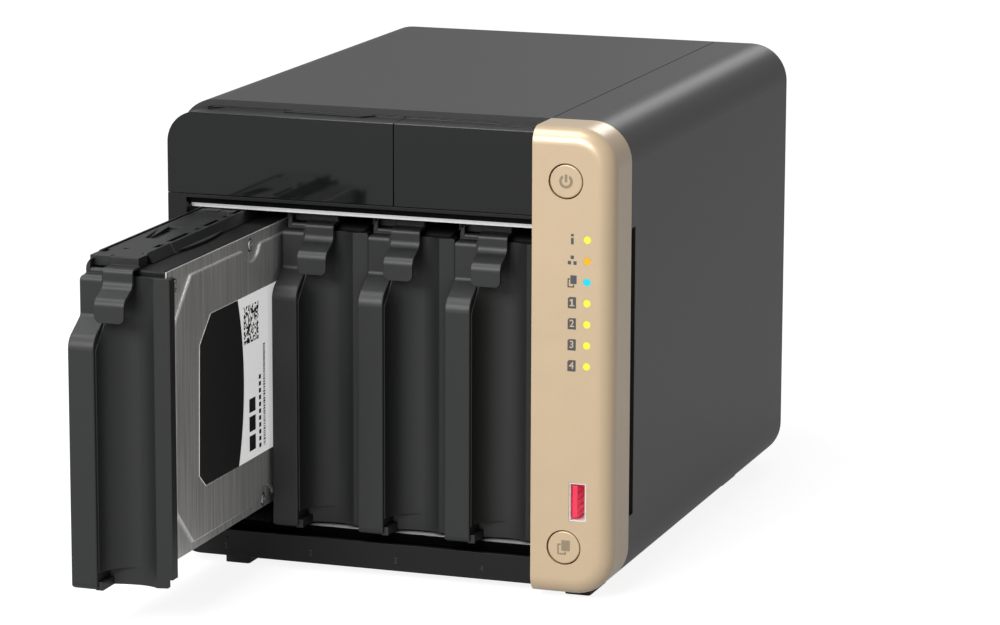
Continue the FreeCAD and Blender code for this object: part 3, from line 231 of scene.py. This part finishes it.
def gloss_skin(name):
    """Glossy front that mirrors the open tray; the shelf on top is duller, and paler as painted light from
    above.
    """
    look = Shader(name)
    shelf = look.facing_up()
    cloud = look.spread(look.noise(14 * MM, 4.0), 0.0, 1.0)
    front = look.mix(cloud, (0.0070, 0.0078, 0.0076), (0.0074, 0.0082, 0.0080))
    return look.set(
        # Painted light: faces that look up get a paler colour; their higher roughness is the real duller
        # shelf.
        Base_Color=look.mix(shelf, front, (0.021, 0.0215, 0.0215)),
        Roughness=look.spread(shelf, 0.06, 0.38, 0.0, 1.0),
        Specular_IOR_Level=0.38,
        Normal=look.edges(0.2 * MM)[0],
    )


def sheet_metal(
    name,
    colour,
    rough,
    stretch=(1, 1, 1),
    contrast=0.25,
    line=0.5 * MM,
    edge=0.12 * MM,
    metal=0.95,
):
    """Bare metal with rolling or brush marks drawn out along the axis with the smallest stretch."""
    look = Shader(name)
    normal, rim = look.edges(edge)
    lines = look.spread(look.noise(line, 5.0, stretch), 0.0, 1.0)
    body = look.mix(lines, darker(colour, 1 - contrast), darker(colour, 1 + contrast))
    body = look.mix(look.math("MULTIPLY", rim, 0.35), body, darker(colour, 1.3))
    return look.set(
        Base_Color=body,
        Metallic=metal,
        Roughness=look.spread(lines, rough - 0.04, rough + 0.04, 0.0, 1.0),
        Normal=look.relief(lines, 0.004 * MM, normal),
    )


def lamp(name, colour):
    """Lit plug: an even glow with a trace of grain."""
    look = Shader(name)
    fine = look.noise(0.5 * MM, 2.0)
    glow = look.mix(look.spread(fine, 0.0, 1.0), colour, darker(colour, 0.93))
    return look.set(
        Base_Color=darker(colour, 0.05),
        Emission_Color=glow,
        Emission_Strength=0.97,
        Roughness=0.35,
        Normal=look.relief(fine, 0.004 * MM),
    )


def circuit_board(name):
    """Green solder mask over copper tracks."""
    look = Shader(name)
    bricks = look.add("ShaderNodeTexBrick", offset=0.5)
    look.feed(bricks.inputs["Vector"], look.stretched((1, 1, 1)))
    bricks.inputs["Scale"].default_value = 180
    look.feed(bricks.inputs["Color1"], (0.012, 0.07, 0.035))
    look.feed(bricks.inputs["Color2"], (0.016, 0.09, 0.045))
    look.feed(bricks.inputs["Mortar"], (0.03, 0.16, 0.07))
    cloud = look.spread(look.noise(9 * MM, 3.0), 0.0, 0.6)
    tint = look.mix(cloud, bricks.outputs["Color"], (0.01, 0.05, 0.03))
    return look.set(Base_Color=tint, Roughness=0.35, Normal=look.relief(bricks.outputs["Fac"], 0.03 * MM))


def paper(name, colour, glow=0.0):
    """Printed film: faint fibre and a slight sheen; a white film may be given a glow, as painted light,
    though it is no lamp.
    """
    look = Shader(name)
    fibre = look.noise(0.25 * MM, 4.0)
    body = look.mix(look.spread(fibre, 0.0, 0.5), colour, darker(colour, 0.93))
    return look.set(
        Base_Color=body,
        Roughness=0.42,
        Emission_Color=body,
        Emission_Strength=glow,
        Normal=look.relief(fibre, 0.004 * MM),
    )


def rubber(name):
    look = Shader(name)
    normal, rim = look.edges(0.3 * MM)
    fine = look.noise(0.3 * MM, 4.0)
    dust = look.spread(look.noise(6 * MM, 5.0), 0.0, 0.6)
    body = look.mix(dust, (0.035, 0.035, 0.036), (0.06, 0.06, 0.06))
    body = look.mix(look.math("MULTIPLY", rim, 0.4), body, (0.09, 0.09, 0.09))
    return look.set(Base_Color=body, Roughness=0.75, Normal=look.relief(fine, 0.02 * MM, normal))


def floor_white(name):
    """Plain pale sweep; it glows a little so that it stays as bright as the surround."""
    look = Shader(name)
    cloud = look.spread(look.noise(0.3, 2.0), 0.0, 1.0)
    return look.set(
        Base_Color=look.mix(cloud, (0.28, 0.28, 0.282), (0.3, 0.3, 0.3)),
        Roughness=0.9,
        Specular_IOR_Level=0.1,
        Emission_Color=(1.0, 1.0, 1.0),
        Emission_Strength=look.by_ray(0.88, 0.35, 0.05),
    )


def bright_lip(name, front):
    """Roof sheet whose front edge glows as a painted highlight; the glow fades further back."""
    look = Shader(name)
    lines = look.spread(look.noise(0.8 * MM, 5.0, FRONT_TO_BACK), 0.0, 1.0)
    body = look.mix(lines, (0.86, 0.86, 0.86), (0.95, 0.95, 0.95))
    return look.set(
        Base_Color=body,
        Metallic=0.1,
        Roughness=0.45,
        Emission_Color=body,
        # Painted highlight: the front edge glows, fading out over a millimetre.
        Emission_Strength=look.spread(look.further_back(front, 1 * MM), 0.42, 0.0, 0.0, 1.0),
        Normal=look.relief(lines, 0.004 * MM, look.edges(0.45 * MM)[0]),
    )


UPRIGHT = (1, 1, 0.02)
FRONT_TO_BACK = (1, 0.02, 1)
FRAME_BLACK = (0.006, 0.006, 0.0062)

MATERIALS = {
    "painted_shell": moulded(
        # Edge factor below one: painted shade darkens the shell's edges so its seams read as dark lines.
        "painted_shell", (0.031, 0.0314, 0.0314), 0.42, 0.22 * MM, 0.011 * MM, 0.18 * MM, edge_wear_and_shade=0.7
    ),
    "black_moulding": moulded("black_moulding", (0.012, 0.012, 0.0125), 0.5),
    "gloss_fascia": gloss_skin("gloss_fascia"),
    "dark_frame": moulded("dark_frame", FRAME_BLACK, 0.42, gloss=0.34),
    "champagne_bezel": moulded(
        "champagne_bezel",
        (0.70, 0.53, 0.34),
        0.32,
        grain=0.2 * MM,
        depth=0.013 * MM,
        edge=0.1 * MM,
        edge_wear_and_shade=1.1,
        gloss=0.6,
        metal=0.2,
        coat=0.5,
    ),
    "rubber": rubber("rubber"),
    "lamp_yellow": lamp("lamp_yellow", (1.0, 1.0, 0.07)),
    "lamp_orange": lamp("lamp_orange", (1.0, 0.52, 0.008)),
    "lamp_cyan": lamp("lamp_cyan", (0.0, 0.78, 1.0)),
    "circuit_board": circuit_board("circuit_board"),
    "plated_steel": sheet_metal(
        "plated_steel", (0.9, 0.9, 0.9), 0.42, FRONT_TO_BACK, 0.08, 0.8 * MM, metal=0.35
    ),
    # The red tongue glows a little though it is no lamp: painted light.
    "port_red": moulded("port_red", (0.85, 0.04, 0.1), 0.3, edge_wear_and_shade=1.2, glow=0.2),
    "brass_posts": sheet_metal("brass_posts", (0.6, 0.42, 0.16), 0.3),
    "bare_aluminium": sheet_metal("bare_aluminium", (0.62, 0.62, 0.63), 0.4, UPRIGHT),
    "cable_grey": moulded("cable_grey", (0.32, 0.32, 0.34), 0.5, 1.2 * MM, 0.1 * MM),
    "cable_black": moulded("cable_black", (0.02, 0.02, 0.02), 0.55),
    "screw_steel": sheet_metal("screw_steel", (0.7, 0.7, 0.7), 0.3, metal=0.8),
    "drive_casting": moulded("drive_casting", (0.007, 0.007, 0.0072), 0.5, 0.9 * MM, 0.03 * MM, gloss=0.25),
    "drive_lid": sheet_metal("drive_lid", (0.8, 0.8, 0.79), 0.38, UPRIGHT, 0.2, 0.7 * MM, metal=0.5),
    # The label glows though it is no lamp: painted light that keeps it white.
    "label_paper": paper("label_paper", (0.95, 0.95, 0.95), 0.45),
    "tray_plastic": moulded(
        # Painted shade in the trays' creases and pockets within 15 mm.
        "tray_plastic", (0.018, 0.0192, 0.0188), 0.44, 0.28 * MM, 0.012 * MM, 0.35 * MM, crease_shade_reach=15 * MM
    ),
}
PRINT_GREY = moulded("print_grey", (0.085, 0.088, 0.095), 0.5)
PRINT_TAUPE = moulded("print_taupe", (0.33, 0.255, 0.17), 0.5)
PRINT_BLACK = paper("print_black", (0.028, 0.026, 0.027))
INK_THICK = 0.03 * MM
BEAM_MARK = moulded("beam_mark", (0.026, 0.026, 0.027), 0.4)
FLOOR = floor_white("floor_white")


def finish_of(name):
    """The material of a CAD node: that of its slot, or its own where painted shade or a painted highlight is
    put on it.
    """
    slot = SLOT_OF[name]
    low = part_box(name)[0]
    if name == "front_frame":
        # Painted shade inside the bay opening, behind the frame's front face.
        return moulded("frame_front_painted_shade", FRAME_BLACK, 0.42, gloss=0.32, painted_shade_behind=low.y + 1 * MM)
    if name == "chassis_roof":
        return bright_lip("roof_lip_painted_highlight", low.y)
    if name == "chassis_tub":
        # Painted shade: the tub's steel is darker than the plated steel, as it lies in shadow under the
        # trays.
        return sheet_metal("tub_steel_painted_shade", (0.48, 0.48, 0.48), 0.5, FRONT_TO_BACK, 0.08, 0.8 * MM, metal=0.3)
    # Painted shade: the drives in the closed bays are made almost black.
    if name in ("drive_2", "drive_3", "drive_4"):
        return moulded("shaded_drive", (0.003, 0.003, 0.003), 0.6, gloss=0.1)
    return MATERIALS[slot]


def dress_cad_nodes():
    """Give every CAD node its material: the finish of its slot, or one with painted shade or a painted
    highlight.
    """
    for name, node in NODES.items():
        node.data.materials.clear()
        node.data.materials.append(finish_of(name))


# ------------------------------------------------------------------ mesh building blocks


def new_piece(name, mesh, material, body):
    piece = bpy.data.objects.new(name, mesh)
    bpy.context.scene.collection.objects.link(piece)
    mesh.materials.clear()
    mesh.materials.append(material)
    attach(piece, body)
    return piece


AXES = {
    "front": (Vector((1, 0, 0)), Vector((0, 0, 1)), Vector((0, -1, 0))),
    "back": (Vector((-1, 0, 0)), Vector((0, 0, 1)), Vector((0, 1, 0))),
    "right": (Vector((0, 1, 0)), Vector((0, 0, 1)), Vector((1, 0, 0))),
}


def flat_mesh(name, outlines, origin, facing, thick):
    """Closed plates cut to the outlines; an outline is a list of (across, up) pairs from the origin."""
    across, up, out = AXES[facing]
    mesh = bpy.data.meshes.new(name)
    shape = bmesh.new()
    for outline in outlines:
        rings = [
            [shape.verts.new(origin + across * a + up * b + out * lift) for a, b in outline]
            for lift in (0, thick)
        ]
        shape.faces.new(rings[1])
        shape.faces.new(list(reversed(rings[0])))
        for index in range(len(outline)):
            after = (index + 1) % len(outline)
            shape.faces.new((rings[0][index], rings[0][after], rings[1][after], rings[1][index]))
    bmesh.ops.recalc_face_normals(shape, faces=shape.faces)
    shape.to_mesh(mesh)
    shape.free()
    return mesh


def oblong(left, right, low, high):
    return [(left, low), (right, low), (right, high), (left, high)]


def arc(radius, start, stop, steps, centre=(0.0, 0.0)):
    """Points on a circle; angles in degrees."""
    turns = [math.radians(start + (stop - start) * step / steps) for step in range(steps + 1)]
    return [(centre[0] + radius * math.cos(turn), centre[1] + radius * math.sin(turn)) for turn in turns]


def digit_mesh(name, character, size, origin, facing, thick):
    """A plain digit as a solid, centred on the origin; a one gets a flag and a foot."""
    if character == "1":
        unit = size / 3.6
        shapes = [
            oblong(-0.28, 0.34, -0.85, 1.25),
            oblong(-0.85, 0.9, -1.25, -0.85),
            [(-0.85, 0.45), (-0.28, 0.65), (-0.28, 1.25), (-0.85, 0.85)],
        ]
        outlines = [[(a * unit, b * unit) for a, b in shape] for shape in shapes]
        return flat_mesh(name, outlines, origin, facing, thick)
    letters = bpy.data.curves.new(name, "FONT")
    letters.body = character
    letters.size = size
    letters.extrude = thick / 2
    letters.offset = size * 0.012
    letters.align_x = "CENTER"
    letters.align_y = "CENTER"
    holder = bpy.data.objects.new(name, letters)
    bpy.context.scene.collection.objects.link(holder)
    bpy.context.view_layer.update()
    mesh = bpy.data.meshes.new_from_object(holder)
    bpy.data.objects.remove(holder)
    across, up, out = AXES[facing]
    turn = Matrix((across, up, out)).transposed().to_4x4()
    mesh.transform(Matrix.Translation(origin + out * thick / 2) @ turn)
    return mesh


# ------------------------------------------------------------------ control strip


def lamp_spots():
    """Centres of the seven lamps on the bezel's face, top one first."""
    low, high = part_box("status_light_pipes")
    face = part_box("control_bezel")[0].y
    radius = (high.x - low.x) / 2
    top, bottom = high.z - radius, low.z + radius
    return [Vector((low.x + radius, face, top + (bottom - top) * place / 6)) for place in range(7)]


def print_icons():
    """Printed signs beside the lamps: status, network, copy and the four bay numbers."""
    thick = INK_THICK
    sign_to_lamp = 5.4 * MM
    spots = [spot + Vector((-sign_to_lamp, 0, 0)) for spot in lamp_spots()]

    status = [oblong(-0.48, 0.48, -1.8, 0.45), oblong(-0.48, 0.48, 1.0, 1.85)]
    network = [oblong(-0.6, 0.6, 0.5, 1.75), oblong(-1.6, -0.4, -1.45, -0.2), oblong(0.45, 1.6, -1.45, -0.2)]
    copy = [
        oblong(-0.6, 1.65, -0.8, 2.2),
        oblong(-1.65, -1.2, -2.1, 1.1),
        oblong(-1.2, -0.75, 0.65, 1.1),
        oblong(-1.2, 0.75, -2.1, -1.65),
        oblong(0.3, 0.75, -1.65, -0.95),
    ]
    for name, spot, shapes in zip(("status", "network", "copy"), spots, (status, network, copy)):
        outlines = [[(a * MM, b * MM) for a, b in shape] for shape in shapes]
        mesh = flat_mesh(f"icon_{name}", outlines, spot, "front", thick)
        new_piece(f"icon_{name}", mesh, PRINT_GREY, "shell")
    tile = [(-1.5, -2.0), (1.5, -2.0), (1.5, 2.0), (-0.9, 2.0), (-1.5, 1.4)]
    for number, spot in zip(BAYS, spots[3:]):
        mesh = flat_mesh(f"bay_tile_{number}", [[(a * MM, b * MM) for a, b in tile]], spot, "front", thick)
        new_piece(f"bay_tile_{number}", mesh, PRINT_GREY, "shell")
        mesh = digit_mesh(f"bay_digit_{number}", str(number), 3.6 * MM, spot, "front", 2 * thick)
        new_piece(f"bay_digit_{number}", mesh, MATERIALS["champagne_bezel"], "shell")


def button_signs():
    """Power ring and bar on the upper button, two sheets on the lower one."""
    thick = INK_THICK
    low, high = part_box("power_button")
    spot = Vector(((low.x + high.x) / 2, low.y, (low.z + high.z) / 2))
    ring = arc(2.45 * MM, 122, 418, 40) + list(reversed(arc(1.5 * MM, 130, 410, 40)))
    bar = oblong(-0.46 * MM, 0.46 * MM, -0.3 * MM, 2.4 * MM)
    mesh = flat_mesh("power_sign", [ring, bar], spot, "front", thick)
    new_piece("power_sign", mesh, PRINT_TAUPE, "power_button")
    low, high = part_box("copy_button")
    spot = Vector(((low.x + high.x) / 2, low.y, (low.z + high.z) / 2))
    sheets = [
        oblong(-0.8, 2.3, -1.2, 2.6),
        oblong(-2.3, -1.75, -2.6, 1.3),
        oblong(-1.75, -1.1, 0.75, 1.3),
        oblong(-1.75, 0.9, -2.6, -2.05),
        oblong(0.35, 0.9, -2.05, -1.5),
    ]
    outlines = [[(a * MM, b * MM) for a, b in sheet] for sheet in sheets]
    new_piece("copy_sign", flat_mesh("copy_sign", outlines, spot, "front", thick), PRINT_TAUPE, "copy_button")


def beam_numbers():
    """Raised numbers on the frame's lower beam, one under each bay."""
    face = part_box("front_frame")[0]
    for number in BAYS:
        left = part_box(f"tray_{number}_carrier")[0].x
        spot = Vector((left + 13.25 * MM, face.y + 0.15 * MM, face.z + 3.8 * MM))
        mesh = digit_mesh(f"beam_number_{number}", str(number), 3.2 * MM, spot, "front", 0.12 * MM)
        new_piece(f"beam_number_{number}", mesh, BEAM_MARK, "shell")


# ------------------------------------------------------------------ disk label


def label_print():
    """Dark field and neutral marks on the disk's label; none of them is a letter."""
    low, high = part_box("drive_1_label")
    origin = Vector((high.x, low.y, low.z))
    tall = high.z - low.z
    thick = 0.02 * MM
    neck, belly = 35.6 * MM, 5.1 * MM
    radius = (tall**2 / 4 + belly**2) / (2 * belly)
    half = math.degrees(math.asin(tall / 2 / radius))
    centre = (neck + belly - radius, tall / 2)
    bulge = arc(radius, -half, half, 24, centre)
    field = [(11.4 * MM, tall), (1.5 * MM, tall - 9.3 * MM), (0.1 * MM, 4.7 * MM), (5.7 * MM, 0.1 * MM)]
    mesh = flat_mesh("label_dark_field", [bulge + field], origin, "right", thick)
    new_piece("label_dark_field", mesh, PRINT_BLACK, "tray_1")

    marks = []
    draw = random.Random(7)
    cell = 0.68 * MM
    cells_across = 20
    filled_share = 0.48
    patch_left, patch_bottom = 41.0 * MM, 42.4 * MM
    for column in range(cells_across):
        for row in range(cells_across):
            if draw.random() < filled_share:
                left, bottom = patch_left + column * cell, patch_bottom + row * cell
                marks.append(oblong(left, left + cell * 0.98, bottom, bottom + cell * 0.98))
    up = 2.5 * MM
    while up < 40 * MM:
        tall_bar = draw.uniform(0.2, 0.7) * MM
        marks.append(oblong(58.5 * MM, 60.4 * MM, up, up + tall_bar))
        up += tall_bar + draw.uniform(0.2, 0.5) * MM
    blocks = ((3, 8.5), (10, 15.5), (17, 22))
    marks += [oblong(45.4 * MM, 51.2 * MM, start * MM, stop * MM) for start, stop in blocks]
    marks += [oblong(54.4 * MM, 56.4 * MM, (2.5 + 2.5 * k) * MM, (4.1 + 2.5 * k) * MM) for k in range(11)]
    mesh = flat_mesh("label_marks", marks, origin, "right", thick)
    new_piece("label_marks", mesh, PRINT_BLACK, "tray_1")


# ------------------------------------------------------------------ studio


def area_light(name, place, aim, size, power, colour=(1, 1, 1)):
    light = bpy.data.lights.new(name, "AREA")
    light.shape = "RECTANGLE"
    light.size, light.size_y = size
    light.energy = power
    light.color = colour
    holder = bpy.data.objects.new(name, light)
    bpy.context.scene.collection.objects.link(holder)
    holder.location = place
    holder.rotation_mode = "QUATERNION"
    holder.rotation_quaternion = (Vector(aim) - Vector(place)).to_track_quat("-Z", "Y")
    return holder


def studio():
    """Pale floor, bright surround and three soft lights."""
    mesh = bpy.data.meshes.new("floor")
    reach = 6.0
    corners = [(-reach, -reach, 0), (reach, -reach, 0), (reach, reach, 0), (-reach, reach, 0)]
    mesh.from_pydata(corners, [], [(0, 1, 2, 3)])
    mesh.materials.append(FLOOR)
    floor = bpy.data.objects.new("floor", mesh)
    bpy.context.scene.collection.objects.link(floor)
    surround()
    aim = (0, 0, 0.08)
    area_light("key", (-0.3, -1.7, 1.0), aim, (0.9, 0.7), 28)
    area_light("top", (-0.3, -0.35, 1.3), aim, (0.9, 0.6), 9)
    area_light("rim", (-0.05, 2.2, 1.05), aim, (0.5, 0.4), 3.2)


def surround():
    """Even surround: white behind the object, dimmer in reflections and as fill light."""
    world = bpy.data.worlds.new("surround")
    world.use_nodes = True
    tree = world.node_tree
    path = tree.nodes.new("ShaderNodeLightPath")
    backdrop = tree.nodes["Background"].inputs
    backdrop["Color"].default_value = (1, 1, 1, 1)
    total = None
    for output, share in (("Is Camera Ray", 1.0), ("Is Glossy Ray", 0.42), ("Is Diffuse Ray", 0.22)):
        part = tree.nodes.new("ShaderNodeMath")
        part.operation = "MULTIPLY_ADD"
        tree.links.new(path.outputs[output], part.inputs[0])
        part.inputs[1].default_value = share
        if total is None:
            part.inputs[2].default_value = 0.0
        else:
            tree.links.new(total, part.inputs[2])
        total = part.outputs[0]
    tree.links.new(total, backdrop["Strength"])
    bpy.context.scene.world = world


def camera():
    """Long lens, a little above the top cover and to the right of the open tray."""
    yaw, pitch, roll = 0.33136, 0.20293, 0.00331
    place = Vector((0.50493, -1.40984, 0.39551))
    ahead = Vector((-math.sin(yaw) * math.cos(pitch), math.cos(yaw) * math.cos(pitch), -math.sin(pitch)))
    right = Vector((math.cos(yaw), math.sin(yaw), 0))
    up = right.cross(ahead)
    right, up = right * math.cos(roll) + up * math.sin(roll), up * math.cos(roll) - right * math.sin(roll)
    lens = bpy.data.cameras.new("camera")
    lens.sensor_width = 36.0
    lens.lens = 150.3
    lens.shift_x, lens.shift_y = 0.0045, -0.0026
    lens.clip_start, lens.clip_end = 0.05, 20
    holder = bpy.data.objects.new("camera", lens)
    holder.matrix_world = Matrix.Translation(place) @ Matrix((right, up, -ahead)).transposed().to_4x4()
    bpy.context.scene.collection.objects.link(holder)
    bpy.context.scene.camera = holder


dress_cad_nodes()
print_icons()
button_signs()
beam_numbers()
label_print()
studio()
camera()
bpy.context.scene.view_settings.view_transform = "Standard"
